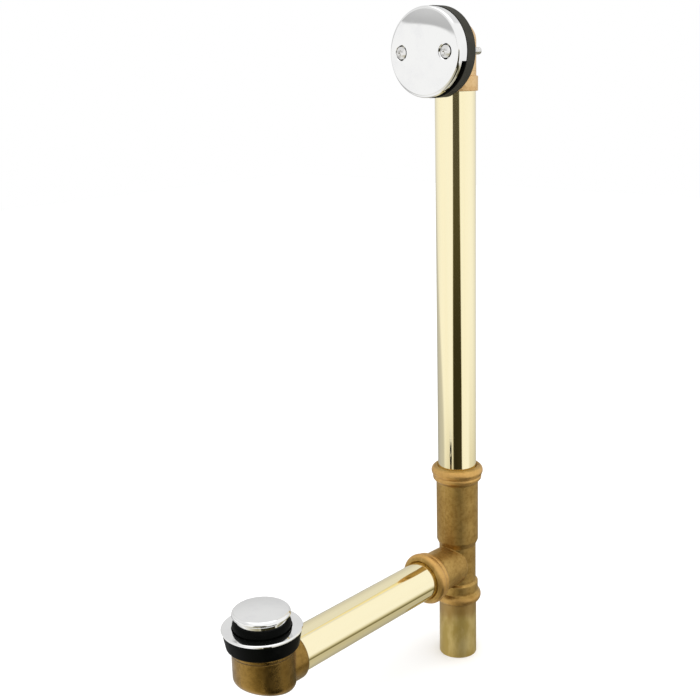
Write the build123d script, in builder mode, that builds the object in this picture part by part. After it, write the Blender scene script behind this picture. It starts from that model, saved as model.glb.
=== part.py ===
"""Bath waste and overflow with a toe-touch stopper, in millimetres.

The origin is the centre of the drain, on the bath floor under the strainer's flange.
+X points from the drain to the tee, +Z is up, and the XZ plane is the plane of symmetry.
"""
import os
from math import cos, pi, radians, sin, sqrt, tan

from build123d import *

# Layout
drain_to_tee = 274.0        # drain axis to the overflow tube's axis
overflow_height = 468.3     # centre of the overflow above the bath floor
tail_depth = 140.5          # tailpiece's open end below the bath floor

# Tubing, 1-1/2 in brass
tube_diameter = 38.1
tube_wall = 0.8
solder_gap = 0.05           # all round, between a tube and its socket
tube_end_gap = 0.5          # between a tube's end and its socket's floor
tail_sized_radius = 18.85   # tailpiece's upper end, sized down for the tee
tail_sized_reach = 1.0      # how far the sized end shows below the tee

# Cast sockets
collar_length = 17.5        # beaded collar at a socket's mouth
collar_radius = 25.8        # the bead at its widest
collar_neck = 24.1          # the narrower lobe behind the bead
lobe_rise = 0.3
lobe_dip = 0.1              # between the two lobes
lip_step = 0.4
mouth_radius = 21.4         # lip of the mouth, outside
mouth_chamfer = 1.4
waterway_radius = 16.6      # passage through the castings
branch_waterway = 15.8      # narrower passage through the tee's branch

# Tee
sleeve_radius = 21.0
sleeve_bottom = -13.2
sleeve_top = 66.8
sleeve_taper = 5.5          # length of the step from the sleeve to the body
tee_body_radius = 18.6
branch_radius = 21.0
branch_root_radius = 20.3
branch_mouth = 59.4         # mouth of the branch, from the tee's axis
branch_end = 8.0            # shoulder where the branch ends on the body, from the tee's axis
branch_end_round = 2.5
branch_socket_depth = 20.0
top_socket_depth = 48.0
lower_socket_radius = 20.8
lower_socket_top = -58.8
lower_socket_depth = 20.0
lower_socket_step = 1.5
lower_band = 11.0           # plain band above the lower bead
lower_bead_radius = 23.8
lower_lip_round = 1.0
tee_bottom = -80.5

# Strainer
flange_radius = 34.95
flange_edge = 1.2           # height of the flange's outer edge
flange_bevel = 0.6
flange_round = 1.3
flange_crest = 2.3
flange_crest_radius = 33.7
bowl_radius = 26.0          # top of the conical seat
bowl_height = 2.1
throat_radius = 20.3
thread_radius = 23.6        # barrel that screws into the shoe
thread_gap = 0.05
barrel_depth = 30.0
seat_wall = 2.5             # wall of the conical seat
cross_bars = 4
bar_width = 4.0
bar_height = 5.0
bar_root = 1.0              # how far a bar runs into the barrel's wall
boss_radius = 7.5
boss_height = 7.0
post_thread_radius = 4.0

# Shoe and its gasket
gasket_thickness = 15.0
gasket_top_radius = 34.0
gasket_bottom_radius = 31.3
gasket_round = 1.5
rubber_gap = 0.4
shoe_radius = 27.2
shoe_rim_radius = 27.8
shoe_rim_height = 4.6
shoe_wall = 3.0
shoe_floor_depth = 54.8     # floor at the drain's axis, outside
shoe_floor_slope = 14.5     # degrees, falling towards the outlet
shoe_corner = 8.0
shoe_inner_corner = 5.0
shoe_thread_depth = 18.0
hub_radius = 22.2
hub_cover = 1.9             # shoe's seat above the top of the outlet hub
hub_reach = 34.0            # end of the outlet hub from the drain's axis
hub_round = 2.5
hub_socket_depth = 9.6
hub_fillet = 1.4
hub_waterway_start = 20.0

# Stopper
stopper_travel = 9.5
cap_radius = 25.2
cap_rim_bottom = 11.6
cap_taper_top = 13.9        # underside tapers out from the neck to here
cap_edge_height = 14.6      # widest edge, below its round
cap_edge_round = 3.0
cap_crown_slope = 12.0      # degrees, where the edge's round runs into the crown
cap_neck_radius = 22.3
seal_radius = 25.3          # belly of the seal
seal_shoulder_radius = 23.4
seal_foot_radius = 23.4     # where the belly runs into the sealing cone
seal_belly_height = 4.4
seal_top = 8.8
seal_lip_bottom = -2.0
seal_lip_inner_radius = 19.6
seal_web = 3.6
seal_clearance = 0.3        # between the seal and the strainer's seat
seat_gap = 0.1              # between stacked pieces of the stopper
retainer_radius = 16.0
retainer_thickness = 2.0
retainer_chamfer = 0.4
sleeve_outer_radius = 7.5
sleeve_bore = 5.6
sleeve_fit = 0.05
sleeve_end_wall = 2.0
sleeve_seat_depth = 4.9     # how far the sleeve goes into the cap
sleeve_low_end = -15.4
bush_height = 3.0
post_radius = 3.0
post_head_radius = 5.2
post_head_height = 3.0
post_shoulder_radius = 6.0
post_shoulder_height = 2.0
post_low_end = -33.0
running_gap = 0.05
latch_radius = 5.2
latch_height = 4.0
latch_teeth = 6
latch_tooth_depth = 1.2
latch_gap = 0.15
latch_play = 0.4            # left between the bush and the latch with the stopper up
spring_wire = 0.8
spring_coil_radius = 4.4
spring_turns = 4.5
spring_gap = 0.3

# Overflow head
face_reach = 45.75          # front rim of the plate from the tube's axis
plate_radius = 39.7
plate_dome = 3.0
plate_edge_round = 3.0
plate_wall = 1.0
skirt_depth = 10.5
notch_depth = 6.2           # how far the lower skirt is cut back
notch_angle = 155.0
screw_spacing = 50.0
screw_radius = 3.1
screw_tip_reach = 3.5       # screw ends behind the tube's axis
screw_head_radius = 5.5
screw_head_cone = 2.4
screw_head_rise = 1.5
screw_head_sink = 0.4       # head's edge behind the dish's face
screw_tip_chamfer = 1.0
screw_recess_length = 4.6
screw_recess_width = 1.1
screw_recess_depth = 1.5
dimple_radius = 7.2
dimple_depth = 3.6
dish_rise = 1.8             # face of the dishes in front of the plate's rim
ring_radius = 40.2          # overflow gasket
ring_thickness = 12.5
ring_bore = 20.8
ring_round = 0.8
screw_hole_gap = 0.5
elbow_drop = 35.2           # mouth of the elbow's socket below the centre of the overflow
elbow_collar_height = 13.0
elbow_collar_radius = 21.0
elbow_collar_step = 0.8
elbow_body_radius = 19.4
elbow_socket_depth = 18.0
elbow_top_rise = 8.7        # centre of the round top above the centre of the overflow
elbow_bore = 17.6           # upright passage above the socket
elbow_barrel_radius = 19.0
elbow_barrel_bore = 16.4    # passage from the front
elbow_flange_radius = 27.5
elbow_flange_thickness = 3.6
ear_radius = 7.4
ear_boss_radius = 6.0
ear_boss_depth = 4.0
ear_thread_gap = 0.05

# Derived sizes
tube_radius = tube_diameter / 2
tube_bore = tube_radius - tube_wall
socket_radius = tube_radius + solder_gap
tee_x = drain_to_tee
arm_depth = gasket_thickness + hub_cover + hub_radius  # shoe tube's axis below the bath floor
drain_plane = Plane.XZ
tee_plane = Plane(origin=(tee_x, 0, 0), x_dir=(1, 0, 0), z_dir=(0, -1, 0))
tee_axis = Axis((tee_x, 0, 0), (0, 0, 1))
arm_plane = Plane(origin=(0, 0, -arm_depth), x_dir=(1, 0, 0), z_dir=(0, -1, 0))
arm_axis = Axis((0, 0, -arm_depth), (1, 0, 0))
seat_drop = seat_wall * sqrt(2)
seat_offset = bowl_radius - bowl_height
under_offset = seat_offset + seat_drop
gasket_offset = under_offset + rubber_gap * sqrt(2)
seal_offset = seat_offset - seal_clearance * sqrt(2)
elbow_socket_bottom = overflow_height - elbow_drop
plate_front = -face_reach
skirt_rear = plate_front + skirt_depth
ring_rear = skirt_rear + ring_thickness
dish_face = plate_front - dish_rise


def upright(x, z):
    """Horizontal plane at height z, centred on an upright axis at x."""
    return Plane(origin=(x, 0, z))


def facing(x, z):
    """Upright plane across the X direction, its own X along +Y and its normal along +X."""
    return Plane(origin=(x, 0, z), x_dir=(0, 1, 0), z_dir=(1, 0, 0))


def screw_plane(side):
    """Upright plane through the axis of the overflow screw on this side."""
    centre = (tee_x, side * screw_spacing / 2, overflow_height)
    return Plane(origin=centre, x_dir=(1, 0, 0), z_dir=(0, -1, 0))


def screw_axis(side):
    """Axis of the overflow screw on this side."""
    return Axis(screw_plane(side).origin, (1, 0, 0))


def dome_drop(rise, reach, at):
    """How far a dome of this rise and reach, centred on its axis, has dropped at a radius."""
    ball = (reach ** 2 + rise ** 2) / (2 * rise)
    return ball - sqrt(ball ** 2 - at ** 2)


def collar_lines(foot_radius, foot, side):
    """Two-lobed collar from its foot to the lip of its mouth, as (radius, height) points.

    side is 1 where the mouth lies further along the axis than the foot, and -1 where it lies behind.
    """
    at = [(foot_radius, 0.0), (collar_neck, 0.21), (collar_neck + lobe_rise, 0.32),
          (collar_neck - lobe_dip, 0.44), (collar_radius, 0.68), (collar_neck - lip_step, 0.92),
          (mouth_radius, 1.0)]
    return [(radius, foot + side * share * collar_length) for radius, share in at]


# Strainer: flange, conical seat, threaded barrel and cross in one casting
with BuildPart() as drain_strainer:
    with BuildSketch(drain_plane):
        with BuildLine():
            rim = [(under_offset, 0), (flange_radius - flange_bevel, 0), (flange_radius, flange_edge)]
            Polyline(*rim)
            crest = (flange_crest_radius, flange_crest)
            RadiusArc(rim[-1], crest, -flange_round)
            throat_top = throat_radius - seat_offset
            inner = [crest, (bowl_radius, bowl_height), (throat_radius, throat_top),
                     (throat_radius, -barrel_depth), (thread_radius, -barrel_depth),
                     (thread_radius, thread_radius - under_offset), rim[0]]
            Polyline(*inner)
        make_face()
    revolve(axis=Axis.Z)
    with BuildSketch(upright(0, -barrel_depth)):
        with PolarLocations(0, cross_bars):
            with Locations(((throat_radius + bar_root) / 2, 0)):
                Rectangle(throat_radius + bar_root, bar_width)
    extrude(amount=bar_height)
    with BuildSketch(upright(0, -barrel_depth)):
        Circle(boss_radius)
    extrude(amount=boss_height)
    with BuildSketch(upright(0, -barrel_depth)):
        Circle(post_thread_radius)
    extrude(amount=boss_height, mode=Mode.SUBTRACT)

# Shoe gasket: bevelled ring, relieved round the strainer's conical seat
with BuildPart() as shoe_gasket:
    with BuildSketch(drain_plane):
        with BuildLine():
            bore = thread_radius + rubber_gap
            Polyline((gasket_offset, 0), (gasket_top_radius, 0), (gasket_bottom_radius, -gasket_thickness),
                     (bore, -gasket_thickness), (bore, bore - gasket_offset), close=True)
        face = make_face()
        outer = face.vertices().sort_by(Axis.X)[-2:]
        fillet(outer, gasket_round)
    revolve(axis=Axis.Z)

# Shoe: cup with a sloping floor and an outlet hub
floor_normal = (sin(radians(shoe_floor_slope)), 0, cos(radians(shoe_floor_slope)))
floor_plane = Plane(origin=(0, 0, -shoe_floor_depth), z_dir=floor_normal)
deep = shoe_floor_depth + shoe_radius
inner_floor = Plane(origin=(0, 0, -shoe_floor_depth + shoe_wall), z_dir=floor_normal)
with BuildPart() as shoe_cavity:
    with BuildSketch(upright(0, -gasket_thickness - shoe_thread_depth)):
        Circle(shoe_radius - shoe_wall)
    extrude(amount=-deep)
    split(bisect_by=inner_floor, keep=Keep.TOP)
    fillet(shoe_cavity.faces().sort_by(Axis.Z)[0].edges(), shoe_inner_corner)
with BuildPart() as drain_shoe:
    with BuildSketch(upright(0, -gasket_thickness)):
        Circle(shoe_radius)
    extrude(amount=-deep)
    split(bisect_by=floor_plane, keep=Keep.TOP)
    fillet(drain_shoe.faces().sort_by(Axis.Z)[0].edges(), shoe_corner)
    with BuildSketch(facing(0, -arm_depth)):
        Circle(hub_radius)
    extrude(amount=hub_reach)
    fillet(drain_shoe.edges().group_by(Axis.X)[-1], hub_round)
    joint = drain_shoe.edges().filter_by_position(Axis.X, hub_fillet, shoe_radius - hub_fillet)
    fillet(joint, hub_fillet)
    split(bisect_by=floor_plane, keep=Keep.TOP)
    with BuildSketch(upright(0, -gasket_thickness)):
        Circle(shoe_rim_radius)
    extrude(amount=-shoe_rim_height)
    add(shoe_cavity.part, mode=Mode.SUBTRACT)
    with BuildSketch(upright(0, -gasket_thickness)):
        Circle(thread_radius + thread_gap)
    extrude(amount=-shoe_thread_depth, mode=Mode.SUBTRACT)
    with BuildSketch(facing(hub_waterway_start, -arm_depth)):
        Circle(waterway_radius)
    extrude(amount=hub_reach - hub_waterway_start, mode=Mode.SUBTRACT)
    with BuildSketch(facing(hub_reach, -arm_depth)):
        Circle(socket_radius)
    extrude(amount=-hub_socket_depth, mode=Mode.SUBTRACT)

# Shoe tube, from the hub's socket to the branch's socket
shoe_tube_start = hub_reach - hub_socket_depth + tube_end_gap
shoe_tube_end = tee_x - branch_mouth + branch_socket_depth - tube_end_gap
with BuildPart() as shoe_tube:
    with BuildSketch(facing(shoe_tube_start, -arm_depth)):
        Circle(tube_radius)
        Circle(tube_bore, mode=Mode.SUBTRACT)
    extrude(amount=shoe_tube_end - shoe_tube_start)

# Tee: upper sleeve, branch and lower socket in one casting
with BuildPart() as waste_tee:
    with BuildSketch(tee_plane):
        with BuildLine():
            top = collar_lines(sleeve_radius, sleeve_top - collar_length, 1)
            bead_top = lower_socket_top - lower_band
            bead_middle = (bead_top + tee_bottom) / 2
            lower_lip = (mouth_radius + lower_lip_round, tee_bottom + lower_lip_round)
            Polyline((0, tee_bottom), (mouth_radius, tee_bottom), lower_lip)
            ThreePointArc(lower_lip, (lower_bead_radius, bead_middle), (lower_socket_radius, bead_top))
            lower_step = lower_socket_top - lower_socket_step
            Polyline((lower_socket_radius, bead_top), (lower_socket_radius, lower_step),
                     (tee_body_radius, lower_socket_top), (tee_body_radius, sleeve_bottom - sleeve_taper),
                     (sleeve_radius, sleeve_bottom), top[0], top[1])
            ThreePointArc(top[1], top[2], top[3])
            ThreePointArc(top[3], top[4], top[5])
            Polyline(top[5], top[6], (0, sleeve_top), (0, tee_bottom))
        make_face()
    revolve(axis=tee_axis)
    with BuildSketch(arm_plane):
        with BuildLine():
            mouth = tee_x - branch_mouth
            collar = collar_lines(branch_radius, mouth + collar_length, -1)
            lobes = [(along, radius) for radius, along in collar]
            root = tee_x - branch_end
            Polyline((root, 0), (root, branch_root_radius), lobes[0], lobes[1])
            ThreePointArc(lobes[1], lobes[2], lobes[3])
            ThreePointArc(lobes[3], lobes[4], lobes[5])
            Polyline(lobes[5], lobes[6], (mouth, 0), (root, 0))
        face = make_face()
        fillet(face.vertices().group_by(Axis.X)[-1].sort_by(Axis.Y)[-1], branch_end_round)
    revolve(axis=arm_axis)
    with BuildSketch(upright(tee_x, tee_bottom)):
        Circle(waterway_radius)
    extrude(amount=sleeve_top - tee_bottom, mode=Mode.SUBTRACT)
    with BuildSketch(facing(mouth, -arm_depth)):
        Circle(branch_waterway)
    extrude(amount=branch_mouth, mode=Mode.SUBTRACT)
    with BuildSketch(upright(tee_x, sleeve_top)):
        Circle(socket_radius)
    extrude(amount=-top_socket_depth, mode=Mode.SUBTRACT)
    with BuildSketch(upright(tee_x, tee_bottom)):
        Circle(tail_sized_radius + solder_gap)
    extrude(amount=lower_socket_depth, mode=Mode.SUBTRACT)
    with BuildSketch(facing(mouth, -arm_depth)):
        Circle(socket_radius)
    extrude(amount=branch_socket_depth, mode=Mode.SUBTRACT)
    mouths = [waste_tee.edges().group_by(Axis.Z)[-1], waste_tee.edges().group_by(Axis.Z)[0],
              waste_tee.edges().group_by(Axis.X)[0]]
    chamfer([lip.sort_by(SortBy.RADIUS)[0] for lip in mouths], mouth_chamfer)

# Overflow tube, from the tee's sleeve to the elbow's socket
overflow_tube_bottom = sleeve_top - top_socket_depth + tube_end_gap
overflow_tube_top = elbow_socket_bottom + elbow_socket_depth - tube_end_gap
with BuildPart() as overflow_tube:
    with BuildSketch(upright(tee_x, overflow_tube_bottom)):
        Circle(tube_radius)
        Circle(tube_bore, mode=Mode.SUBTRACT)
    extrude(amount=overflow_tube_top - overflow_tube_bottom)

# Tailpiece, from the tee's lower socket to the open end
tail_top = tee_bottom + lower_socket_depth - tube_end_gap
tail_shoulder = tee_bottom - tail_sized_reach
with BuildPart() as tailpiece:
    with BuildSketch(upright(tee_x, -tail_depth)):
        Circle(tube_radius)
    extrude(amount=tail_shoulder + tail_depth)
    with BuildSketch(upright(tee_x, tail_shoulder)):
        Circle(tail_sized_radius)
    extrude(amount=tail_top - tail_shoulder)
    with BuildSketch(upright(tee_x, -tail_depth)):
        Circle(tube_bore)
    extrude(amount=tail_top + tail_depth, mode=Mode.SUBTRACT)

# Overflow elbow: socket, round-topped body, front barrel, flange and screw ears
with BuildPart() as overflow_elbow:
    with BuildSketch(tee_plane):
        with BuildLine():
            collar_top = elbow_socket_bottom + elbow_collar_height
            dome_foot = overflow_height + elbow_top_rise
            dome_top = (0, dome_foot + elbow_body_radius)
            Polyline((0, elbow_socket_bottom), (elbow_collar_radius, elbow_socket_bottom),
                     (elbow_collar_radius, collar_top), (elbow_body_radius, collar_top + elbow_collar_step),
                     (elbow_body_radius, dome_foot))
            RadiusArc((elbow_body_radius, dome_foot), dome_top, -elbow_body_radius)
            Line(dome_top, (0, elbow_socket_bottom))
        make_face()
    revolve(axis=tee_axis)
    with BuildSketch(facing(tee_x + ring_rear, overflow_height)):
        Circle(elbow_barrel_radius)
    extrude(amount=-ring_rear)
    with BuildSketch(facing(tee_x + ring_rear, overflow_height)):
        Circle(elbow_flange_radius)
        SlotCenterToCenter(screw_spacing, 2 * ear_radius)
    extrude(amount=elbow_flange_thickness)
    with BuildSketch(facing(tee_x + ring_rear + elbow_flange_thickness, overflow_height)):
        with GridLocations(screw_spacing, 0, 2, 1):
            Circle(ear_boss_radius)
    extrude(amount=ear_boss_depth)
    with BuildSketch(facing(tee_x + ring_rear, overflow_height)):
        with GridLocations(screw_spacing, 0, 2, 1):
            Circle(screw_radius + ear_thread_gap)
    extrude(amount=elbow_flange_thickness + ear_boss_depth, mode=Mode.SUBTRACT)
    with BuildSketch(facing(tee_x + ring_rear, overflow_height)):
        Circle(elbow_barrel_bore)
    extrude(amount=-ring_rear, mode=Mode.SUBTRACT)
    with BuildSketch(tee_plane):
        with BuildLine():
            bore_top = (0, dome_foot + elbow_bore)
            Polyline((0, elbow_socket_bottom), (elbow_bore, elbow_socket_bottom), (elbow_bore, dome_foot))
            RadiusArc((elbow_bore, dome_foot), bore_top, -elbow_bore)
            Line(bore_top, (0, elbow_socket_bottom))
        make_face()
    revolve(axis=tee_axis, mode=Mode.SUBTRACT)
    with BuildSketch(upright(tee_x, elbow_socket_bottom)):
        Circle(socket_radius)
    extrude(amount=elbow_socket_depth, mode=Mode.SUBTRACT)

# Overflow gasket: thick ring with holes for the screws
with BuildPart() as overflow_gasket:
    with BuildSketch(facing(tee_x + skirt_rear, overflow_height)):
        Circle(ring_radius)
        Circle(ring_bore, mode=Mode.SUBTRACT)
        with GridLocations(screw_spacing, 0, 2, 1):
            Circle(screw_radius + screw_hole_gap, mode=Mode.SUBTRACT)
    extrude(amount=ring_thickness)
    fillet(overflow_gasket.edges().filter_by(GeomType.CIRCLE).group_by(SortBy.RADIUS)[-1], ring_round)

# Overflow plate: domed shell, skirt cut back below, dished screw holes
dome_apex = plate_front - plate_dome
plate_ball = (plate_radius ** 2 + plate_dome ** 2) / (2 * plate_dome)
dish_floor = dish_face + dimple_depth
screw_hole = screw_radius + screw_hole_gap


def plate_block(inset):
    """Solid behind the plate's domed face and inside its skirt, drawn in by an inset."""
    with BuildPart() as block:
        with BuildSketch(facing(tee_x + dome_apex, overflow_height)):
            Circle(plate_radius - inset)
        extrude(amount=skirt_rear - dome_apex)
        with Locations((tee_x + dome_apex + plate_ball, 0, overflow_height)):
            Sphere(plate_ball - inset, mode=Mode.INTERSECT)
        fillet(block.edges().filter_by(GeomType.CIRCLE).group_by(Axis.X)[0], plate_edge_round - inset)
    return block.part


plate_outside = plate_block(0)
plate_inside = plate_block(plate_wall)
with BuildPart() as plate_dishes:
    for side in (-1, 1):
        with BuildSketch(screw_plane(side)):
            with BuildLine():
                dish_radius = dimple_radius + plate_wall
                Polyline((dome_apex, 0), (dome_apex, dish_radius), (dish_face, dish_radius),
                         (dish_floor + plate_wall, screw_hole + plate_wall), (dish_floor + plate_wall, 0),
                         close=True)
            make_face()
        revolve(axis=screw_axis(side))
    add(plate_outside, mode=Mode.INTERSECT)
with BuildPart() as overflow_faceplate:
    add(plate_outside)
    add(plate_inside, mode=Mode.SUBTRACT)
    add(plate_dishes.part)
    for side in (-1, 1):
        with BuildSketch(screw_plane(side)):
            with BuildLine():
                Polyline((dome_apex, 0), (dome_apex, dimple_radius), (dish_face, dimple_radius),
                         (dish_floor, screw_hole), (skirt_rear, screw_hole), (skirt_rear, 0), close=True)
            make_face()
        revolve(axis=screw_axis(side), mode=Mode.SUBTRACT)
    reach = 1.5 * plate_radius
    drop = reach / tan(radians(notch_angle / 2))
    with BuildSketch(facing(tee_x + skirt_rear, overflow_height)):
        with BuildLine():
            Polyline((0, 0), (reach, -drop), (reach, -reach), (-reach, -reach), (-reach, -drop), close=True)
        make_face()
    extrude(amount=-notch_depth, mode=Mode.SUBTRACT)

# Overflow screws: raised countersunk heads with cross recesses
screw_seat = dish_face + screw_head_sink
with BuildPart() as overflow_screws:
    for side in (-1, 1):
        with BuildSketch(screw_plane(side)):
            with BuildLine():
                crown = (screw_seat - screw_head_rise, 0)
                mid = screw_head_radius / 2
                sag = dome_drop(screw_head_rise, screw_head_radius, mid)
                ThreePointArc(crown, (crown[0] + sag, mid), (screw_seat, screw_head_radius))
                Polyline((screw_seat, screw_head_radius), (screw_seat + screw_head_cone, screw_radius),
                         (screw_tip_reach - screw_tip_chamfer, screw_radius),
                         (screw_tip_reach, screw_radius - screw_tip_chamfer),
                         (screw_tip_reach, 0), crown)
            make_face()
        revolve(axis=screw_axis(side))
        with BuildSketch(facing(tee_x + screw_seat - 2 * screw_head_rise, overflow_height)):
            with Locations((side * screw_spacing / 2, 0)):
                Rectangle(screw_recess_length, screw_recess_width)
                Rectangle(screw_recess_width, screw_recess_length)
        extrude(amount=screw_head_rise + screw_recess_depth, mode=Mode.SUBTRACT)

# Stopper cap: domed, with a neck for the seal and a blind seat for the sleeve
with BuildPart() as stopper_cap:
    with BuildSketch(drain_plane):
        with BuildLine():
            neck_bottom = seal_top + seat_gap
            edge_foot = (cap_radius, cap_edge_height)
            crown_turn = radians(cap_crown_slope)
            half_turn = (pi / 2 - crown_turn) / 2
            edge_centre = cap_radius - cap_edge_round
            edge_middle = (edge_centre + cap_edge_round * cos(half_turn),
                           cap_edge_height + cap_edge_round * sin(half_turn))
            edge_top = (edge_centre + cap_edge_round * sin(crown_turn),
                        cap_edge_height + cap_edge_round * cos(crown_turn))
            crown_ball = edge_top[0] / sin(crown_turn)
            crown_centre = edge_top[1] - crown_ball * cos(crown_turn)
            cap_apex = crown_centre + crown_ball
            crown_middle = (crown_ball * sin(crown_turn / 2), crown_centre + crown_ball * cos(crown_turn / 2))
            seat_radius = sleeve_outer_radius + sleeve_fit
            seat_top = neck_bottom + sleeve_seat_depth + seat_gap
            ThreePointArc(edge_foot, edge_middle, edge_top)
            ThreePointArc(edge_top, crown_middle, (0, cap_apex))
            Polyline((0, cap_apex), (0, seat_top), (seat_radius, seat_top), (seat_radius, neck_bottom),
                     (cap_neck_radius, neck_bottom), (cap_neck_radius, cap_rim_bottom),
                     (cap_radius, cap_taper_top), edge_foot)
        make_face()
    revolve(axis=Axis.Z)

# Stopper seal: rubber skirt whose lip lies just off the conical seat
with BuildPart() as stopper_seal:
    with BuildSketch(drain_plane):
        with BuildLine():
            lip = (seal_lip_bottom + seal_offset, seal_lip_bottom)
            bore = sleeve_outer_radius + rubber_gap
            shoulder = (seal_shoulder_radius, seal_top)
            foot = (seal_foot_radius, seal_foot_radius - seal_offset)
            ThreePointArc(shoulder, (seal_radius, seal_belly_height), foot)
            Polyline(foot, lip, (seal_lip_inner_radius, seal_lip_bottom),
                     (seal_lip_inner_radius, seal_top - seal_web), (bore, seal_top - seal_web),
                     (bore, seal_top), shoulder)
        make_face()
    revolve(axis=Axis.Z)

# Seal retainer: washer that holds the seal against the cap
retainer_top = seal_top - seal_web - seat_gap
with BuildPart() as seal_retainer:
    with BuildSketch(upright(0, retainer_top)):
        Circle(retainer_radius)
        Circle(sleeve_outer_radius + sleeve_fit, mode=Mode.SUBTRACT)
    extrude(amount=-retainer_thickness)
    chamfer(seal_retainer.edges().filter_by(GeomType.CIRCLE).group_by(SortBy.RADIUS)[-1], retainer_chamfer)

# Stopper sleeve: closed at the top, slides over the post
sleeve_high_end = seal_top + seat_gap + sleeve_seat_depth
with BuildPart() as stopper_sleeve:
    with BuildSketch(upright(0, sleeve_low_end)):
        Circle(sleeve_outer_radius)
    extrude(amount=sleeve_high_end - sleeve_low_end)
    with BuildSketch(upright(0, sleeve_low_end)):
        Circle(sleeve_bore)
    extrude(amount=sleeve_high_end - sleeve_end_wall - sleeve_low_end, mode=Mode.SUBTRACT)

# Sleeve bush: guides the sleeve on the post
with BuildPart() as sleeve_bush:
    with BuildSketch(upright(0, sleeve_low_end)):
        Circle(sleeve_bore - sleeve_fit)
        Circle(post_radius + running_gap, mode=Mode.SUBTRACT)
    extrude(amount=bush_height)

# Latch post: head, stem, shoulder on the cross and thread in its boss
bush_top = sleeve_low_end + bush_height
latch_bottom = bush_top + stopper_travel + latch_play
latch_top = latch_bottom + latch_height
head_bottom = latch_top + latch_gap
head_top = head_bottom + post_head_height
cross_top = -barrel_depth + boss_height
with BuildPart() as latch_post:
    with BuildSketch(drain_plane):
        with BuildLine():
            shoulder = cross_top + post_shoulder_height
            Polyline((0, post_low_end), (post_thread_radius - thread_gap, post_low_end),
                     (post_thread_radius - thread_gap, cross_top), (post_shoulder_radius, cross_top),
                     (post_shoulder_radius, shoulder), (post_radius, shoulder), (post_radius, head_bottom),
                     (post_head_radius, head_bottom), (post_head_radius, head_top), (0, head_top), close=True)
        make_face()
    revolve(axis=Axis.Z)

# Latch collar: ring with catch teeth on its underside
with BuildPart() as latch_collar:
    with BuildSketch(upright(0, latch_bottom)):
        Circle(latch_radius)
        Circle(post_radius + latch_gap, mode=Mode.SUBTRACT)
    extrude(amount=latch_height)
    tooth = pi * latch_radius / latch_teeth
    with BuildSketch(upright(0, latch_bottom)):
        with PolarLocations((latch_radius + post_radius) / 2, latch_teeth):
            Rectangle(latch_radius, tooth)
    extrude(amount=latch_tooth_depth, mode=Mode.SUBTRACT)

# Stopper spring, held down by the latch between the post's head and the sleeve's end
spring_bottom = head_top + spring_gap + spring_wire / 2
spring_top = sleeve_high_end - sleeve_end_wall - spring_gap - spring_wire / 2
with BuildPart() as stopper_spring:
    with BuildLine():
        coil = Helix((spring_top - spring_bottom) / spring_turns, spring_top - spring_bottom,
                     spring_coil_radius, center=(0, 0, spring_bottom))
    with BuildSketch(Plane(origin=coil @ 0, z_dir=coil % 0)):
        Circle(spring_wire / 2)
    sweep(is_frenet=True)

os.makedirs("parts", exist_ok=True)
pieces = {
    "overflow_faceplate": overflow_faceplate, "overflow_screws": overflow_screws,
    "overflow_gasket": overflow_gasket, "overflow_elbow": overflow_elbow, "overflow_tube": overflow_tube,
    "waste_tee": waste_tee, "tailpiece": tailpiece, "shoe_tube": shoe_tube, "drain_shoe": drain_shoe,
    "shoe_gasket": shoe_gasket, "drain_strainer": drain_strainer, "stopper_cap": stopper_cap,
    "stopper_seal": stopper_seal, "seal_retainer": seal_retainer, "stopper_sleeve": stopper_sleeve,
    "sleeve_bush": sleeve_bush, "latch_post": latch_post, "latch_collar": latch_collar,
    "stopper_spring": stopper_spring,
}
for name, piece in pieces.items():
    piece.part.label = name
    export_step(piece.part, f"parts/{name}.step")
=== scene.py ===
# %% [markdown]
# # Bath waste and overflow
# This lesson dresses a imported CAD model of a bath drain: a chrome strainer with a toe-touch stopper, a brass
# shoe, two polished tubes, a cast tee with its tailpiece, and an overflow plate on an elbow. The solids come
# from the CAD file and stay where they are. Blender adds the camera, the studio, the finishes and the small
# screw threads that the solids leave plain. Everything is in metres, with the drain's centre at the origin,
# +X towards the tee and +Z up.

# %% Load the solids
import math

import bpy
from mathutils import Matrix, Vector


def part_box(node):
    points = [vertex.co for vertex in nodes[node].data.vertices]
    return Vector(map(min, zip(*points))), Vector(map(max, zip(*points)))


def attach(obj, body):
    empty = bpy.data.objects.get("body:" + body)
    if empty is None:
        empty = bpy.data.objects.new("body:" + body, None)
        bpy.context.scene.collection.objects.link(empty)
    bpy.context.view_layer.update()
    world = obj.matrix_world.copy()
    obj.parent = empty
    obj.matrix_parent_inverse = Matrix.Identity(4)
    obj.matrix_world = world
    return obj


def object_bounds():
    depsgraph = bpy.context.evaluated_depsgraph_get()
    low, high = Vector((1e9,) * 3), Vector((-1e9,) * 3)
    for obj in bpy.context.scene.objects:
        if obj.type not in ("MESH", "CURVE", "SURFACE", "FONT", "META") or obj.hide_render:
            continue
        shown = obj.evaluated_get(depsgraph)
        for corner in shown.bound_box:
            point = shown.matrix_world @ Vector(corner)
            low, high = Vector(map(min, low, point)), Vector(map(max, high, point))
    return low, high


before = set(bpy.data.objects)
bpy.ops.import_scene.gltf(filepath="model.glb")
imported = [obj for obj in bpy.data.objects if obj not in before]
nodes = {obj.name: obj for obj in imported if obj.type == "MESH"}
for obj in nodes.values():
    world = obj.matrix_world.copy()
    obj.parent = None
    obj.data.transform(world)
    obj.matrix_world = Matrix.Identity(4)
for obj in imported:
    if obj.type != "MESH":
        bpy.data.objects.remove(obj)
cad_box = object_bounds()

# %% [markdown]
# ## Camera
# The photograph was taken with a normal lens from the drain's side, about level with the overflow plate. The
# camera's place, turn and lens could be tried out by eye. They were solved instead, from the tubes' edges and
# the round rims of the flange and plate, so that render and photograph show the same spot at the same pixel.

# %% Place the camera
def add_object(name, data):
    """Puts an object for this data into the scene."""
    made = bpy.data.objects.new(name, data)
    bpy.context.scene.collection.objects.link(made)
    return made


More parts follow.
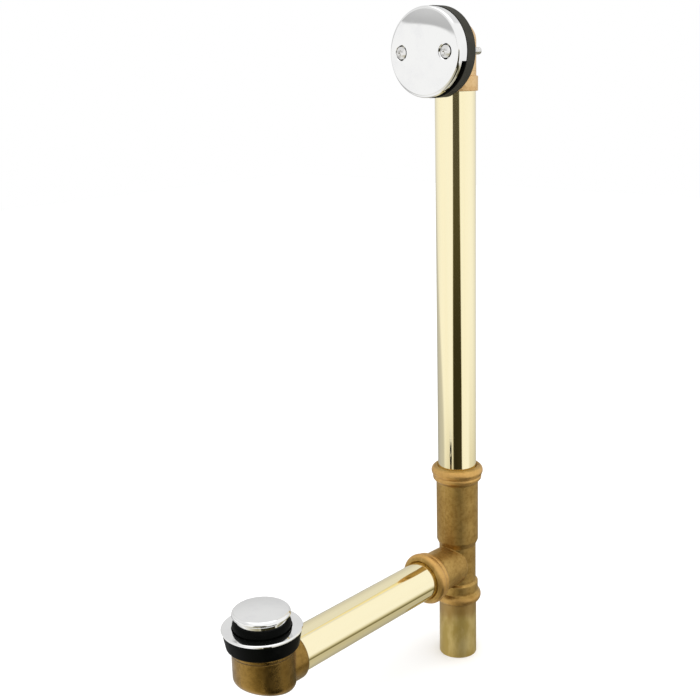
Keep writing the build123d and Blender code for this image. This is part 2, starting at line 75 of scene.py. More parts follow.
camera_place = Vector((-0.5573, -0.6272, 0.4562))
camera_yaw, camera_pitch, camera_roll = (math.radians(angle) for angle in (47.2007, -14.4728, -1.7302))
camera_lens, camera_sensor = 56.06, 36

ahead = Vector((math.sin(camera_yaw) * math.cos(camera_pitch),
                math.cos(camera_yaw) * math.cos(camera_pitch), math.sin(camera_pitch)))
level_right = Vector((math.cos(camera_yaw), -math.sin(camera_yaw), 0))
level_up = level_right.cross(ahead)
right = math.cos(camera_roll) * level_right + math.sin(camera_roll) * level_up
above = math.cos(camera_roll) * level_up - math.sin(camera_roll) * level_right
turn = Matrix((right, above, -ahead)).transposed().to_4x4()

camera_data = bpy.data.cameras.new("photo_camera")
camera_data.sensor_width, camera_data.lens = camera_sensor, camera_lens
camera = add_object("photo_camera", camera_data)
camera.matrix_world = Matrix.Translation(camera_place) @ turn
bpy.context.scene.camera = camera
bpy.context.scene.view_settings.view_transform = "Standard"
print("camera at", [round(v, 3) for v in camera_place], "lens", camera_lens)

# %% [markdown]
# ## Helpers for node trees
# Materials, the studio's world and the thread are all node trees. Each could be drawn by hand in the editor. A
# script is used because its numbers can be read and changed in one place. Three helpers keep the cells short:
# one feeds a socket, one fills a node's inputs by name, and one adds a node.

# %% Node helpers
def feed(tree, socket, value):
    """Links a socket to an output, or sets it to a plain value. None leaves it alone."""
    if isinstance(value, bpy.types.NodeSocket):
        tree.links.new(value, socket)
    elif value is not None:
        socket.default_value = value


def fill(tree, node, **values):
    """Feeds a node's inputs by name, with _ for each blank."""
    for label, value in values.items():
        feed(tree, node.inputs[label.replace("_", " ")], value)
    return node


def put(tree, kind, *values, **settings):
    """Adds a node. Values feed its inputs in order, and settings are its own fields."""
    made = tree.nodes.new(kind)
    for field, value in settings.items():
        setattr(made, field, value)
    for socket, value in zip(made.inputs, values):
        feed(tree, socket, value)
    return made


print("helpers: feed, fill, put")

# %% [markdown]
# ### Sums, soft steps and mixes
# Light and dark places are masks: numbers from 0 to 1 that come from sums and soft steps. A Color Ramp could
# draw a soft step too. Map Range was chosen because its ends can come from other nodes, so an edge can move.

# %% Sums, soft steps and mixes
def calc(tree, operation, *values):
    """One Math node, returned as its output."""
    return put(tree, "ShaderNodeMath", *values, operation=operation).outputs[0]


def times(tree, first, *others):
    """Product of masks or values."""
    for other in others:
        first = calc(tree, "MULTIPLY", first, other)
    return first


def ease(tree, value, start, end, low=0.0, high=1.0):
    """A smooth step from low at start to high at end."""
    return put(tree, "ShaderNodeMapRange", value, start, end, low, high,
               interpolation_type="SMOOTHSTEP").outputs[0]


def between(tree, share, low, high):
    """Low where the share is 0, high where it is 1."""
    return put(tree, "ShaderNodeMapRange", share, 0.0, 1.0, low, high).outputs[0]


def blend_colour(tree, share, first, second):
    """Mix of two colours, returned as its output."""
    mix = put(tree, "ShaderNodeMix", data_type="RGBA")
    factor, colour_a, colour_b, result = mix.inputs[0], mix.inputs[6], mix.inputs[7], mix.outputs[2]
    for socket, value in ((factor, share), (colour_a, first), (colour_b, second)):
        feed(tree, socket, value)
    return result


print("helpers: calc, times, ease, between, blend_colour")

# %% [markdown]
# ## Studio
# Polished brass and chrome have almost no colour of their own: they show the room. The real object stood in a
# white tent with a dark slot for the lens, which the tubes repeat as one narrow black stripe. Cards on stands
# could copy that. Here the world's shader holds them, because it is fixed to the room, works for every piece at
# once and never stands in the picture. Only mirror-like rays read the cards. The camera sees plain white, and
# soft light comes from an even sky and one large lamp.
#
# Each card is a mask over two angles in degrees: the bearing, which is 0 towards the lens and negative to its
# left, and the height above the horizon.

# %% World: directions
world = bpy.data.worlds.new("white_tent")
world.use_nodes = True
bpy.context.scene.world = world
sky = world.node_tree
sky.nodes.clear()

to_lens = Vector((-0.798, -0.602, 0))
to_right = Vector((0.602, -0.798, 0))
look = put(sky, "ShaderNodeTexCoord").outputs["Generated"]
forward = put(sky, "ShaderNodeVectorMath", look, to_lens, operation="DOT_PRODUCT").outputs["Value"]
sideways = put(sky, "ShaderNodeVectorMath", look, to_right, operation="DOT_PRODUCT").outputs["Value"]
upward = put(sky, "ShaderNodeSeparateXYZ", look).outputs["Z"]
bearing = calc(sky, "DEGREES", calc(sky, "ARCTAN2", sideways, forward))
off_front = calc(sky, "ABSOLUTE", bearing)
height = calc(sky, "DEGREES", calc(sky, "ARCSINE", upward))


def by_bearing(start, end, low=0.0, high=1.0):
    """A smooth step over the bearing."""
    return ease(sky, bearing, start, end, low, high)


def by_height(start, end, low=0.0, high=1.0):
    """A smooth step over the height."""
    return ease(sky, height, start, end, low, high)


print("nodes for bearing and height:", len(sky.nodes))

# %% [markdown]
# ### Lens slot
# The slot is the black stripe on the tubes and the dark middle of the castings. A black plane in front of the
# object would do, but the slot grows wider downwards and runs off to the right near the table, which is easier
# to say in angles. Its upper end fades just above the horizon. The flank is an olive haze on its left, low
# down, which the tubes and castings show beside the stripe near the tee.

# %% World: lens slot
near_table = by_height(-20, -32)
slot_half = calc(sky, "ADD", by_height(0, -20, 18, 26), times(sky, near_table, 9))
slot_centre = between(sky, near_table, 3.5, 47)
off_slot = calc(sky, "ABSOLUTE", calc(sky, "SUBTRACT", bearing, slot_centre))
past_slot = calc(sky, "SUBTRACT", off_slot, slot_half)
slot = times(sky, ease(sky, past_slot, 2.5, -2.5), by_height(5, -1))
slot_tone = by_height(-16, -5, 0.035, 0.085)
slot_tint = by_height(-9, -3, 0.95, 0.65)

flank_share = 0.66
flank = times(sky, ease(sky, past_slot, 90, 0), by_bearing(20, -8), by_height(-16, -26), flank_share)
print("nodes up to the slot:", len(sky.nodes))

# %% [markdown]
# ### Valance and curtain
# The overflow plate faces left, and its upper part shows a grey valance with an arched lower edge. An ellipse
# would be too round, so the third power of the two distances gives the arch flatter sides. The curtain is the
# soft dark band on the left edge of the upright tube, which grows wider towards the tee.

# %% World: valance and curtain
arch_bearing, arch_half, arch_foot, arch_rise, arch_power = -82, 25, -3, 13, 3
from_middle = calc(sky, "ABSOLUTE", calc(sky, "SUBTRACT", bearing, arch_bearing))
from_foot = calc(sky, "MAXIMUM", calc(sky, "SUBTRACT", height, arch_foot), 0.0)
arch = calc(sky, "ADD", *(calc(sky, "POWER", calc(sky, "DIVIDE", distance, size), arch_power)
                          for distance, size in ((from_middle, arch_half), (from_foot, arch_rise))))
arch = calc(sky, "POWER", arch, 1 / arch_power)
left_side = times(sky, by_bearing(-38, -44), by_bearing(-150, -130))
valance = times(sky, ease(sky, arch, 0.98, 1.05), left_side, by_height(1.5, 5))
valance_tone = ease(sky, arch, 1.0, 1.8, 0.52, 0.85)

curtain_edge = by_height(-20, -7, -86, -143)
past_edge = calc(sky, "SUBTRACT", bearing, curtain_edge)
curtain = times(sky, ease(sky, past_edge, 14, -8), by_bearing(-178, -165), by_height(-4, -9),
                by_height(-34, -23))
curtain_tone = by_height(-20, -8, 0.58, 0.74)
print("nodes up to the curtain:", len(sky.nodes))

# %% [markdown]
# ### Backdrop and hem
# The chrome cap, the flange and the arm's upper side look away from the lens and show the backdrop, a light
# grey. The hem is where the tent meets the table, on the right and behind. The arm's lower half shows it, and
# so does the right edge of the upright tube near the tee. A plain dark band would look like a second slot, so
# the hem darkens slowly towards its edge and is lighter again below it.

# %% World: backdrop and hem
backdrop = ease(sky, off_front, by_height(4, 24, 90, 130), by_height(4, 24, 172, 134))
backdrop_tone = by_height(2, 42, 0.68, 0.82)

hem_depth, hem_curve = 0.84, 2.3
right_side = calc(sky, "MAXIMUM", by_bearing(68, 90), ease(sky, off_front, 150, 165))
above_hem = times(sky, calc(sky, "POWER", by_height(-6, -33), hem_curve), hem_depth)
below_hem = by_height(-70, -38, 0.2, 0.42)
hem = times(sky, right_side, between(sky, by_height(-33, -34.5), above_hem, below_hem))
print("nodes up to the hem:", len(sky.nodes))

# %% [markdown]
# ### The cards together
# Colours could be mixed card by card. Here each card is a factor instead, 1 where it doesn't reach and its own
# tone where it hangs, so that cards may overlap in any order. The tent's roof is brighter than its walls. Hem,
# flank and slot also take an olive tint, which dark places in the brass have. A Light Path node then gives
# each kind of ray its own view of the room.

# %% World: the cards together
white, olive_light = (1, 1, 1, 1), (1, 0.86, 0.34, 1)
tent_light = 1.2
roof = by_height(54, 70, 1.0, 1.7)
olive = calc(sky, "MAXIMUM", hem, flank)

tone = times(sky, roof, calc(sky, "SUBTRACT", 1.0, olive))
for card, level in ((backdrop, backdrop_tone), (valance, valance_tone), (curtain, curtain_tone),
                    (slot, slot_tone)):
    tone = times(sky, tone, between(sky, card, 1.0, level))
tinted = calc(sky, "MAXIMUM", olive, times(sky, slot, slot_tint))
tint = blend_colour(sky, tinted, white, olive_light)
room = fill(sky, put(sky, "ShaderNodeVectorMath", tint, operation="SCALE"), Scale=tone).outputs[0]

rays = put(sky, "ShaderNodeLightPath").outputs
mirror_ray = calc(sky, "MAXIMUM", rays["Is Glossy Ray"], rays["Is Transmission Ray"])
seen = blend_colour(sky, mirror_ray, (tent_light, tent_light, tent_light, 1), room)
seen = blend_colour(sky, rays["Is Camera Ray"], seen, white)
put(sky, "ShaderNodeOutputWorld", put(sky, "ShaderNodeBackground", seen, 1.0).outputs[0])
print("world nodes:", len(sky.nodes))

# %% [markdown]
# ### Lamp and floor
# A large round lamp above the drain's side gives the castings their soft modelling, and a sheet of white paper
# takes the faint shadow under the tailpiece. A ring of lamps would be more even, but it would leave no shadow.
# Neither lamp nor floor shows in the polished metal, which has its own cards.

# %% Lamp and floor
lamp_data = bpy.data.lights.new("top_softbox", "AREA")
lamp_data.shape, lamp_data.size, lamp_data.energy = "DISK", 1.6, 14
lamp_aim = Vector((0.14, 0, 0.1))
lamp = add_object("top_softbox", lamp_data)
lamp.location = (-0.7, -0.5, 1.9)
lamp.rotation_euler = (lamp_aim - lamp.location).to_track_quat("-Z", "Y").to_euler()
lamp.visible_glossy = False

floor_height, reach, paper_white = cad_box[0].z, 4.0, (0.93, 0.93, 0.93, 1)
corners = [(x * reach, y * reach, floor_height) for x, y in ((-1, -1), (1, -1), (1, 1), (-1, 1))]
floor_mesh = bpy.data.meshes.new("studio_floor")
floor_mesh.from_pydata(corners, [], [(0, 1, 2, 3)])
floor = add_object("studio_floor", floor_mesh)
floor.visible_glossy = False
paper = bpy.data.materials.new("white_paper")
paper.use_nodes = True
paper.node_tree.nodes.clear()
paper_diffuse = put(paper.node_tree, "ShaderNodeBsdfDiffuse", paper_white)
put(paper.node_tree, "ShaderNodeOutputMaterial", paper_diffuse.outputs[0])
floor_mesh.materials.append(paper)
print("floor at", round(floor_height, 4))

# %% [markdown]
# ## Shared effects
# Three effects come back in several finishes. They could be copied into each material, but a node group is
# built once and placed with its own values. Groups put out colours, masks and heights only, and each material
# keeps its own shader.

# %% Group helpers
number_kind, colour_kind, vector_kind = "NodeSocketFloat", "NodeSocketColor", "NodeSocketVector"


def start_group(name, inputs, outputs):
    """An empty shader group with named sockets: its tree, its inputs and its output node."""
    tree = bpy.data.node_groups.new(name, "ShaderNodeTree")
    for label, kind, value in inputs:
        tree.interface.new_socket(label, in_out="INPUT", socket_type=kind).default_value = value
    for label, kind in outputs:
        tree.interface.new_socket(label, in_out="OUTPUT", socket_type=kind)
    return tree, put(tree, "NodeGroupInput").outputs, put(tree, "NodeGroupOutput")


def on_object(tree):
    """Object coordinates, which stay with a piece wherever it goes."""
    return put(tree, "ShaderNodeTexCoord").outputs["Object"]


def noise(tree, place, scale, detail=3.0, roughness=0.55):
    """Noise value of about 0 to 1."""
    return put(tree, "ShaderNodeTexNoise", place, None, scale, detail, roughness).outputs[0]


print("helpers: start_group, on_object, noise")

# %% [markdown]
# ### Cast skin
# A casting that was left unpolished is cloudy in colour and sandy to the touch, with a few small pits. A
# scanned picture could be laid over it, but it would stretch and repeat. Two sizes of noise give the clouds and
# the speckle, a third gives the grain, and the cells of a Voronoi texture give the pits, kept to some places by
# one more noise.

# %% Cast skin
cast_skin, given, out = start_group(
    "cast_skin",
    [("Light Colour", colour_kind, (0.5, 0.3, 0.1, 1)), ("Dark Colour", colour_kind, (0.2, 0.1, 0.03, 1)),
     ("Patch Scale", number_kind, 45.0), ("Grain Scale", number_kind, 900.0)],
    [("Colour", colour_kind), ("Height", number_kind), ("Roughness", number_kind)])
tree, place = cast_skin, on_object(cast_skin)
patch_scale, grain_scale = given["Patch Scale"], given["Grain Scale"]
clouds = ease(tree, noise(tree, place, patch_scale, 4.0), 0.36, 0.66)
speckle = ease(tree, noise(tree, place, times(tree, patch_scale, 7.0)), 0.42, 0.64)
grain = noise(tree, place, grain_scale, 2.0)
cells = put(tree, "ShaderNodeTexVoronoi", place, None, times(tree, grain_scale, 0.32)).outputs["Distance"]
some_places = ease(tree, noise(tree, place, times(tree, patch_scale, 3.0), 2.0), 0.5, 0.62)
pits = times(tree, ease(tree, cells, 0.16, 0.05), some_places)

cloud_share, speckle_share, pit_share = 0.55, 0.45, 0.35
grain_height, speckle_height = 0.5, -0.35
darkness = calc(tree, "ADD", times(tree, clouds, cloud_share), times(tree, speckle, speckle_share))
darkness = calc(tree, "ADD", darkness, times(tree, pits, pit_share))
sand = calc(tree, "ADD", times(tree, grain, grain_height), times(tree, speckle, speckle_height))
fill(tree, out, Colour=blend_colour(tree, darkness, given["Light Colour"], given["Dark Colour"]),
     Height=calc(tree, "SUBTRACT", sand, pits), Roughness=ease(tree, clouds, 0.0, 1.0, 0.42, 0.54))
print("cast skin nodes:", len(tree.nodes))

# %% [markdown]
# ### Parting line
# The two halves of a mould leave a thin ridge, which here runs round every casting in the plane of symmetry. It
# could be modelled, but it is a fraction of a millimetre high and partly filed away, so a mask along Y = 0 that
# wanders and breaks off is enough.

# %% Parting line
parting_line, given, out = start_group(
    "parting_line", [("Half Width", number_kind, 0.0005)], [("Mask", number_kind)])
tree, place = parting_line, on_object(parting_line)
wander_width = 0.0012
wander = times(tree, calc(tree, "SUBTRACT", noise(tree, place, 70.0, 2.0), 0.5), wander_width)
across = calc(tree, "ADD", put(tree, "ShaderNodeSeparateXYZ", place).outputs["Y"], wander)
from_seam = calc(tree, "DIVIDE", calc(tree, "ABSOLUTE", across), given["Half Width"])
unfiled = ease(tree, noise(tree, place, 160.0, 2.0), 0.34, 0.5)
fill(tree, out, Mask=times(tree, ease(tree, from_seam, 1.0, 0.3), unfiled))
print("parting line nodes:", len(tree.nodes))

# %% [markdown]
# ### Handling marks
# A tube that has been packed and wiped has faint clouds and fine lines, which keep it from looking like a
# perfect mirror. Scratches could be drawn one by one, but they are too faint to tell apart. Both marks are
# noise, and the material hands in coordinates that are drawn out along the tube.

# %% Handling marks
handling, given, out = start_group(
    "handling", [("Place", vector_kind, (0, 0, 0)), ("Line Scale", number_kind, 1.0)],
    [("Cloud", number_kind), ("Lines", number_kind)])
tree = handling
fill(tree, out, Cloud=ease(tree, noise(tree, given["Place"], 0.03, 4.0, 0.6), 0.4, 0.7),
     Lines=noise(tree, given["Place"], given["Line Scale"], 3.0, 0.6))
print("handling nodes:", len(tree.nodes))

# %% [markdown]
# ## Finishes
# Every finish is a metal or a rubber with its own maps of colour, roughness and bump. Pictures could be painted
# for them, but node patterns have no seams and stay sharp close up. The helpers start a material, turn a height
# into a normal, and join the three maps to the shader.

# %% Material helpers
def shade(red, green, blue):
    """Linear colour from the 0 to 255 values of a screen."""
    def linear(v):
        v /= 255
        return v / 12.92 if v <= 0.04045 else ((v + 0.055) / 1.055) ** 2.4
    return (linear(red), linear(green), linear(blue), 1)


def start_material(name, metallic=1.0):
    """A new material: its tree and its Principled shader."""
    made = bpy.data.materials.new(name)
    made.use_nodes = True
    tree = made.node_tree
    tree.nodes.clear()
    shader = fill(tree, put(tree, "ShaderNodeBsdfPrincipled"), Metallic=metallic)
    put(tree, "ShaderNodeOutputMaterial", shader.outputs[0])
    return made, tree, shader


def bump(tree, height, strength, distance, normal=None):
    """Bump from a height, returned as a normal."""
    made = put(tree, "ShaderNodeBump")
    return fill(tree, made, Strength=strength, Distance=distance, Height=height, Normal=normal).outputs[0]


def finish_with(tree, shader, colour, roughness, normal):
    """Joins the three maps of a finish to its shader."""
    fill(tree, shader, Base_Color=colour, Roughness=roughness, Normal=normal)


print("a mid grey of 128 is", round(shade(128, 128, 128)[0], 3), "in linear light")

# %% [markdown]
# ### Bright drawn brass
# The two tubes were drawn through a die and then buffed, so their faint lines run along the tube. An anisotropic
# shader could smear the reflections, but these tubes are almost mirrors. Stretched noise in a very small bump
# keeps the stripe of the slot sharp and still not perfect. Upright tube and arm differ only in the axis.

# %% Bright drawn brass
along_x, along_z = 0, 2


def put_group(tree, group, **values):
    """Places a shared effect in a material, with its own values."""
    return fill(tree, put(tree, "ShaderNodeGroup", node_tree=group), **values).outputs


def stretched(tree, axis):
    """Object coordinates in which patterns are drawn out along one axis."""
    fine, drawn_out = 900, 6
    scale = Vector((fine, fine, fine))
    scale[axis] = drawn_out
    return put(tree, "ShaderNodeMapping", on_object(tree), None, None, scale).outputs[0]


def bright_brass(name, axis):
    """Buffed tube whose draw lines run along one axis."""
    made, tree, shader = start_material(name)
    marks = put_group(tree, handling, Place=stretched(tree, axis), Line_Scale=1.0)
    colour = blend_colour(tree, marks["Cloud"], shade(252, 242, 204), shade(246, 232, 184))
    finish_with(tree, shader, colour, ease(tree, marks["Cloud"], 0.0, 1.0, 0.06, 0.11),
                bump(tree, marks["Lines"], 0.04, 0.0002))
    return made


upright_brass = bright_brass("bright_brass_upright", along_z)
arm_brass = bright_brass("bright_brass_arm", along_x)
print("made", upright_brass.name, "and", arm_brass.name)

# %% [markdown]
# ### Marks on the castings
# On the tee the crests of the three beads are lighter, partly from wear and partly as a painted highlight,
# and the shoe has one turned line under its rim, darkened with painted shade.
# They could be painted by hand or found from the mesh's curvature. Distances are exact, so each mark is a mask
# of the distance from an axis or from a height.

# %% Marks on the castings
tee_axis = sum(corner.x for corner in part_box("overflow_tube")) / 2
arm_height = sum(corner.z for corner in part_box("shoe_tube")) / 2
bead_foot, bead_crest = 0.0220, 0.0248
branch_clear, branch_past = 0.027, 0.030
body_side, mouth_side = 0.240, 0.234
line_edge, line_core = 0.0010, 0.0004
outlet_side, cup_side = 0.022, 0.016


def off_axis(tree, place, plane, centre):
    """Distance from a straight axis. The ones in plane are the two directions across it."""
    flat = put(tree, "ShaderNodeVectorMath", place, plane, operation="MULTIPLY").outputs[0]
    return put(tree, "ShaderNodeVectorMath", flat, centre, operation="DISTANCE").outputs["Value"]


def tee_beads(tree):
    """One on the crests of the tee's three beads, nought elsewhere."""
    place = on_object(tree)
    along = put(tree, "ShaderNodeSeparateXYZ", place).outputs
    from_branch = calc(tree, "ABSOLUTE", calc(tree, "SUBTRACT", along["Z"], arm_height))
    upright_reach = off_axis(tree, place, (1, 1, 0), (tee_axis, 0, 0))
    branch_reach = off_axis(tree, place, (0, 1, 1), (0, 0, arm_height))
    upright_bead = times(tree, ease(tree, upright_reach, bead_foot, bead_crest),
                         ease(tree, from_branch, branch_clear, branch_past))
    branch_bead = times(tree, ease(tree, branch_reach, bead_foot, bead_crest),
                        ease(tree, along["X"], body_side, mouth_side))
    return calc(tree, "MAXIMUM", upright_bead, branch_bead)


def turned_line(tree, level):
    """One on a thin line round the shoe's cup at this height, nought elsewhere and on the outlet."""
    along = put(tree, "ShaderNodeSeparateXYZ", on_object(tree)).outputs
    off_line = calc(tree, "ABSOLUTE", calc(tree, "SUBTRACT", along["Z"], level))
    return times(tree, ease(tree, off_line, line_edge, line_core),
                 ease(tree, along["X"], outlet_side, cup_side))


print("tee's axis at", round(tee_axis, 4), "and arm at", round(arm_height, 4))

# %% [markdown]
# ### Castings
# Tee, shoe and elbow are cast brass in three shades, and the shoe is smoother than the others. Three materials
# could be built one by one, but one function keeps what they share the same. A Bevel node rounds the normals at
# corners, because no real casting has a sharp one, and the solids stay as they are.

# %% Castings
# The first colour is painted shade in the shoe's turned line; the second is wear and a painted highlight on the
# tee's bead crests.
painted_groove_shade, crest_wear_and_highlight = shade(60, 42, 18), shade(232, 184, 112)


def casting(name, light, dark, seam_light, grain, polish=0.0, line_level=None, crests=None, corner=0.0012):
    """Cast brass with cloudy colour, sandy grain, a parting line and softened corners.

    Polish takes away roughness and grain. A turned line lies at line_level and is darkened with painted shade,
    and crests is a function that makes the mask of the places lightened by wear and a painted highlight.
    """
    seam_share, seam_height, line_share, line_depth, rub_gloss = 0.45, 0.5, 0.7, 0.8, 0.1
    grain_height = 0.24 - 0.6 * polish
    made, tree, shader = start_material(name)
    skin = put_group(tree, cast_skin, Light_Colour=light, Dark_Colour=dark, Grain_Scale=grain)
    seam = put_group(tree, parting_line)["Mask"]
    colour = blend_colour(tree, times(tree, seam, seam_share), skin["Colour"], seam_light)
    relief = calc(tree, "ADD", times(tree, skin["Height"], grain_height), times(tree, seam, seam_height))
    roughness = calc(tree, "SUBTRACT", skin["Roughness"], polish)
    if line_level is not None:
        line = turned_line(tree, line_level)
        # painted shade: the turned line is darkened
        colour = blend_colour(tree, times(tree, line, line_share), colour, painted_groove_shade)
        relief = calc(tree, "SUBTRACT", relief, times(tree, line, line_depth))
    if crests is not None:
        crest = times(tree, crests(tree), ease(tree, skin["Height"], 0.1, 0.7, 0.55, 0.85))
        # wear and a painted highlight: the bead crests are lightened
        colour = blend_colour(tree, crest, colour, crest_wear_and_highlight)
        roughness = calc(tree, "SUBTRACT", roughness, times(tree, crest, rub_gloss))
    rounded = put(tree, "ShaderNodeBevel", corner, samples=6).outputs[0]
    finish_with(tree, shader, colour, roughness, bump(tree, relief, 0.6, 0.0006, rounded))
    return made


rim_foot = -0.0196
tee_casting = casting("cast_brass_tee", shade(190, 156, 90), shade(158, 124, 64), shade(204, 168, 104), 900.0,
                      crests=tee_beads)
shoe_casting = casting("cast_brass_shoe", shade(160, 127, 67), shade(130, 101, 48), shade(172, 138, 77), 1100.0,
                       polish=0.2, line_level=rim_foot, corner=0.004)
elbow_casting = casting("cast_brass_elbow", shade(236, 202, 150), shade(220, 180, 124), shade(240, 212, 164),
                        1100.0)
print("castings:", tee_casting.name, shoe_casting.name, elbow_casting.name)

# %% [markdown]
# ### Raw tailpiece
# The tailpiece is bare, dull tube with olive blotches, and a brown stain of flux below the tee where it was
# soldered. The stain could be a painted mask. A step in height whose edge is shifted by noise was chosen, since
# it runs unevenly all round.

# %% Raw tailpiece
raw_brass, tree, shader = start_material("raw_brass_tail", 0.8)
place = on_object(tree)
blotch_scale, uneven_width = (60, 60, 26), 0.03
stain_low, stain_high, stain_share = -0.108, -0.088, 0.7
marks = put_group(tree, handling, Place=stretched(tree, along_z), Line_Scale=0.5)
blotch_place = put(tree, "ShaderNodeMapping", place, None, None, blotch_scale).outputs[0]
blotch = ease(tree, noise(tree, blotch_place, 1.0, 4.0), 0.38, 0.64)
uneven = times(tree, calc(tree, "SUBTRACT", noise(tree, place, 55.0), 0.5), uneven_width)
level = calc(tree, "ADD", put(tree, "ShaderNodeSeparateXYZ", place).outputs["Z"], uneven)
flux = times(tree, ease(tree, level, stain_low, stain_high), stain_share)
tail_colour = blend_colour(tree, blotch, shade(206, 184, 122), shade(176, 152, 84))
tail_colour = blend_colour(tree, flux, tail_colour, shade(146, 110, 56))
finish_with(tree, shader, tail_colour, ease(tree, blotch, 0.0, 1.0, 0.38, 0.5),
            bump(tree, marks["Lines"], 0.12, 0.0003))
print("made", raw_brass.name)

# %% [markdown]
# ### Chrome
# Plate, strainer and cap are chrome, nearly colourless and almost a mirror. One plain colour would do from far
# away, but it looks like a computer's mirror. Wiping leaves slightly duller clouds, and a wide, very low bump
# bends the reflections a little.

# %% Chrome
chrome, tree, shader = start_material("bright_chrome")
place = on_object(tree)
wiped = ease(tree, noise(tree, place, 55.0, 4.0, 0.6), 0.42, 0.7)
finish_with(tree, shader, blend_colour(tree, wiped, shade(243, 243, 242), shade(239, 239, 239)),
            ease(tree, wiped, 0.0, 1.0, 0.035, 0.075), bump(tree, noise(tree, place, 24.0, 2.0), 0.02, 0.001))
print("made", chrome.name)

# %% [markdown]
# ### Rubber
# The seal and the drain's gasket are black, and the overflow gasket is grey at its outer side. Its front face
# lies in the plate's shade, and that shade is painted: the face is coloured near black. That face could be a
# material of its own on chosen faces, but it is flat and easy to find by its X, so one material serves.

# %% Rubber
def rubber(name, plain, worn, roughness, gloss, painted_shade=None, front=0.0):
    """Moulded rubber with a fine matt grain and a little bloom.

    A painted shade colour is for the flat face at X = front, which lies in the plate's shade.
    """
    front_edge, front_core = front + 0.0006, front + 0.0002
    made, tree, shader = start_material(name, 0.0)
    place = on_object(tree)
    bloom = ease(tree, noise(tree, place, 90.0, 5.0, 0.62), 0.45, 0.75)
    colour = blend_colour(tree, bloom, plain, worn)
    if painted_shade is not None:
        # painted shade: the flat front face is coloured near black where the plate shades it
        depth = put(tree, "ShaderNodeSeparateXYZ", place).outputs["X"]
        colour = blend_colour(tree, ease(tree, depth, front_edge, front_core), colour, painted_shade)
    fill(tree, shader, Specular_IOR_Level=gloss)
    finish_with(tree, shader, colour, ease(tree, bloom, 0.0, 1.0, roughness - 0.06, roughness + 0.1),
                bump(tree, noise(tree, place, 1500.0, 2.0), 0.15, 0.0002))
    return made


gasket_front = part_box("overflow_gasket")[0].x
black_rubber = rubber("black_rubber", shade(3, 4, 3), shade(7, 8, 7), 0.5, 0.04)
# the overflow gasket's front face takes a painted shade, near black
grey_rubber = rubber("grey_rubber", shade(48, 47, 41), shade(60, 58, 51), 0.62, 0.12, shade(5, 5, 4),
                     gasket_front)
print("made", black_rubber.name, "and", grey_rubber.name)

# %% [markdown]
# ### Steel and turned brass
# The screws, the spring and the stopper's inner parts are turned or drawn metal, of which only the screws show
# much. Each could have its own tool marks, but they are so small that one function serves all three, with fine
# marks in the bump and clouds in the colour.

# %% Steel and turned brass
def machined(name, bright, dull, roughness, mark_scale):
    """Turned metal with fine tool marks."""
    made, tree, shader = start_material(name)
    place = on_object(tree)
    clouds = ease(tree, noise(tree, place, 120.0, 4.0), 0.4, 0.68)
    finish_with(tree, shader, blend_colour(tree, clouds, bright, dull),
                ease(tree, clouds, 0.0, 1.0, roughness - 0.05, roughness + 0.1),
                bump(tree, noise(tree, place, mark_scale, 2.0), 0.04, 0.0002))
    return made


screw_steel = machined("screw_steel", shade(234, 233, 231), shade(218, 217, 214), 0.14, 1800.0)
spring_steel = machined("spring_steel", shade(190, 190, 192), shade(140, 140, 142), 0.3, 2400.0)
turned_brass = machined("turned_brass", shade(226, 196, 122), shade(190, 152, 82), 0.24, 2000.0)
print("made", screw_steel.name, spring_steel.name, turned_brass.name)

# %% [markdown]
# ## Finishes on the solids
# Each CAD solid keeps its shape and takes one of the finishes. They could be assigned one by one, but a table
# of finishes and solids reads like a parts list.

# %% Dress the solids
finishes = (
    (chrome, ("overflow_faceplate", "drain_strainer", "stopper_cap")),
    (upright_brass, ("overflow_tube",)),
    (arm_brass, ("shoe_tube",)),
    (tee_casting, ("waste_tee",)),
    (shoe_casting, ("drain_shoe",)),
    (elbow_casting, ("overflow_elbow",)),
    (raw_brass, ("tailpiece",)),
    (black_rubber, ("shoe_gasket", "stopper_seal")),
    (grey_rubber, ("overflow_gasket",)),
    (screw_steel, ("overflow_screws",)),
    (spring_steel, ("stopper_spring",)),
    (turned_brass, ("seal_retainer", "stopper_sleeve", "sleeve_bush", "latch_post", "latch_collar")),
)
for finish, solids in finishes:
    for name in solids:
        nodes[name].data.materials.clear()
        nodes[name].data.materials.append(finish)
print("dressed", sum(len(solids) for _, solids in finishes), "of", len(nodes), "solids")

# %% [markdown]
# ## Screw threads
# The two overflow screws stick out behind the elbow's ears, and their free ends show the thread. The solid is a
# plain rod. A helix could be swept in the CAD file, but many small faces would slow it down. Here Geometry Nodes
# draw one spiral, sweep a four-sided ridge along it and set it on both screws, so the pitch and the length
# stay single numbers.

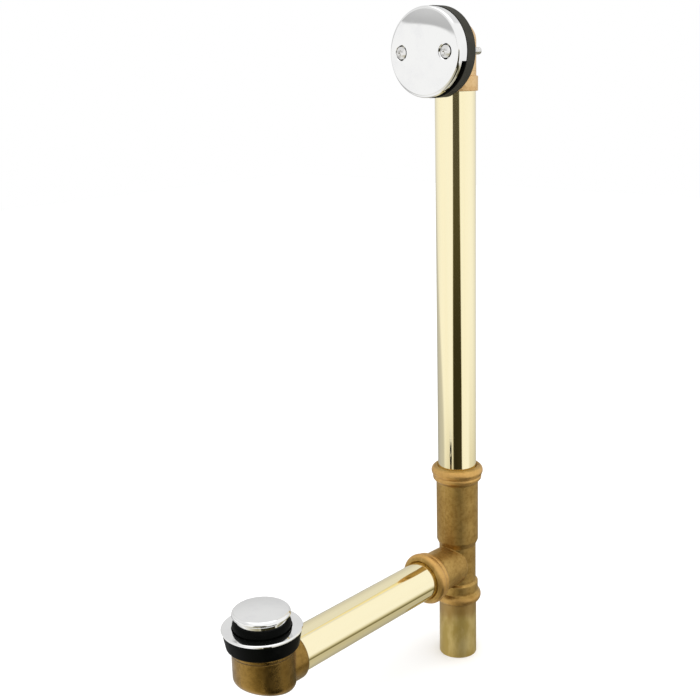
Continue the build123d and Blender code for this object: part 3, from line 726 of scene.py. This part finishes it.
# %% Thread ridge
def spiral_ridge(name, finish):
    """Geometry tree for a ridge that winds round two parallel rods."""
    tree = bpy.data.node_groups.new(name, "GeometryNodeTree")
    for label, value in (("Rod Radius", 0.003), ("Pitch", 0.001), ("Length", 0.02), ("Ridge", 0.0003),
                         ("Spread", 0.05)):
        tree.interface.new_socket(label, in_out="INPUT", socket_type=number_kind).default_value = value
    tree.interface.new_socket("Start", in_out="INPUT", socket_type=vector_kind)
    tree.interface.new_socket("Geometry", in_out="OUTPUT", socket_type="NodeSocketGeometry")
    given = put(tree, "NodeGroupInput").outputs

    points_per_turn, ridge_sides, rod_count = 20, 4, 2
    radius, length, spread = given["Rod Radius"], given["Length"], given["Spread"]
    turns = calc(tree, "DIVIDE", length, given["Pitch"])
    spiral = put(tree, "GeometryNodeCurveSpiral", points_per_turn, turns, radius, radius, length)
    level = put(tree, "GeometryNodeSetCurveNormal", spiral.outputs[0], mode="Z_UP")
    profile = fill(tree, put(tree, "GeometryNodeCurvePrimitiveCircle", ridge_sides), Radius=given["Ridge"])
    swept = put(tree, "GeometryNodeCurveToMesh", level.outputs[0], profile.outputs[0])
    fill(tree, swept, Fill_Caps=True)
    lying = fill(tree, put(tree, "GeometryNodeTransform", swept.outputs[0]), Rotation=(0, math.pi / 2, 0))

    to_first = put(tree, "ShaderNodeCombineXYZ", None, times(tree, spread, -0.5)).outputs[0]
    first = put(tree, "ShaderNodeVectorMath", given["Start"], to_first, operation="ADD").outputs[0]
    step = put(tree, "ShaderNodeCombineXYZ", None, spread).outputs[0]
    rods = fill(tree, put(tree, "GeometryNodeMeshLine", rod_count), Start_Location=first, Offset=step)
    placed = fill(tree, put(tree, "GeometryNodeInstanceOnPoints", rods.outputs[0]), Instance=lying.outputs[0])
    real = put(tree, "GeometryNodeRealizeInstances", placed.outputs[0])
    dressed = fill(tree, put(tree, "GeometryNodeSetMaterial", real.outputs[0]), Material=finish)
    put(tree, "NodeGroupOutput", dressed.outputs[0])
    return tree


thread_ridge = spiral_ridge("thread_ridge", screw_steel)
print("thread tree nodes:", len(thread_ridge.nodes))

# %% [markdown]
# ### Threads on the screws
# The thread starts just behind the elbow's ears and ends before the chamfer at the screws' tips. The tree could
# stay live in a modifier, but the export wants plain meshes. So it runs once on an empty holder, its result
# becomes a mesh of its own, and the holder goes.

# %% Threads on the screws
def made_by(tree, name, **values):
    """Runs a geometry tree once and returns its result as a plain mesh object."""
    holder = add_object(name + "_maker", bpy.data.meshes.new(name + "_maker"))
    modifier = holder.modifiers.new("maker", "NODES")
    modifier.node_group = tree
    for item in tree.interface.items_tree:
        label = item.name.replace(" ", "_")
        if item.in_out == "INPUT" and label in values:
            modifier[item.identifier] = values[label]
    graph = bpy.context.evaluated_depsgraph_get()
    mesh = bpy.data.meshes.new_from_object(holder.evaluated_get(graph))
    bpy.data.objects.remove(holder)
    return add_object(name, mesh)


screw_low, screw_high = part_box("overflow_screws")
screw_centre = (screw_low.z + screw_high.z) / 2
screw_spread, tip_chamfer = 0.050, 0.001
ear_depth, ear_gap = 0.0076, 0.0004
thread_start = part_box("overflow_elbow")[0].x + ear_depth + ear_gap
thread = made_by(thread_ridge, "overflow_screw_thread", Rod_Radius=0.00305, Pitch=0.00127, Ridge=0.00028,
                 Length=screw_high.x - tip_chamfer - thread_start, Spread=screw_spread,
                 Start=(thread_start, 0.0, screw_centre))
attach(thread, "waste")
print("thread faces:", len(thread.data.polygons))
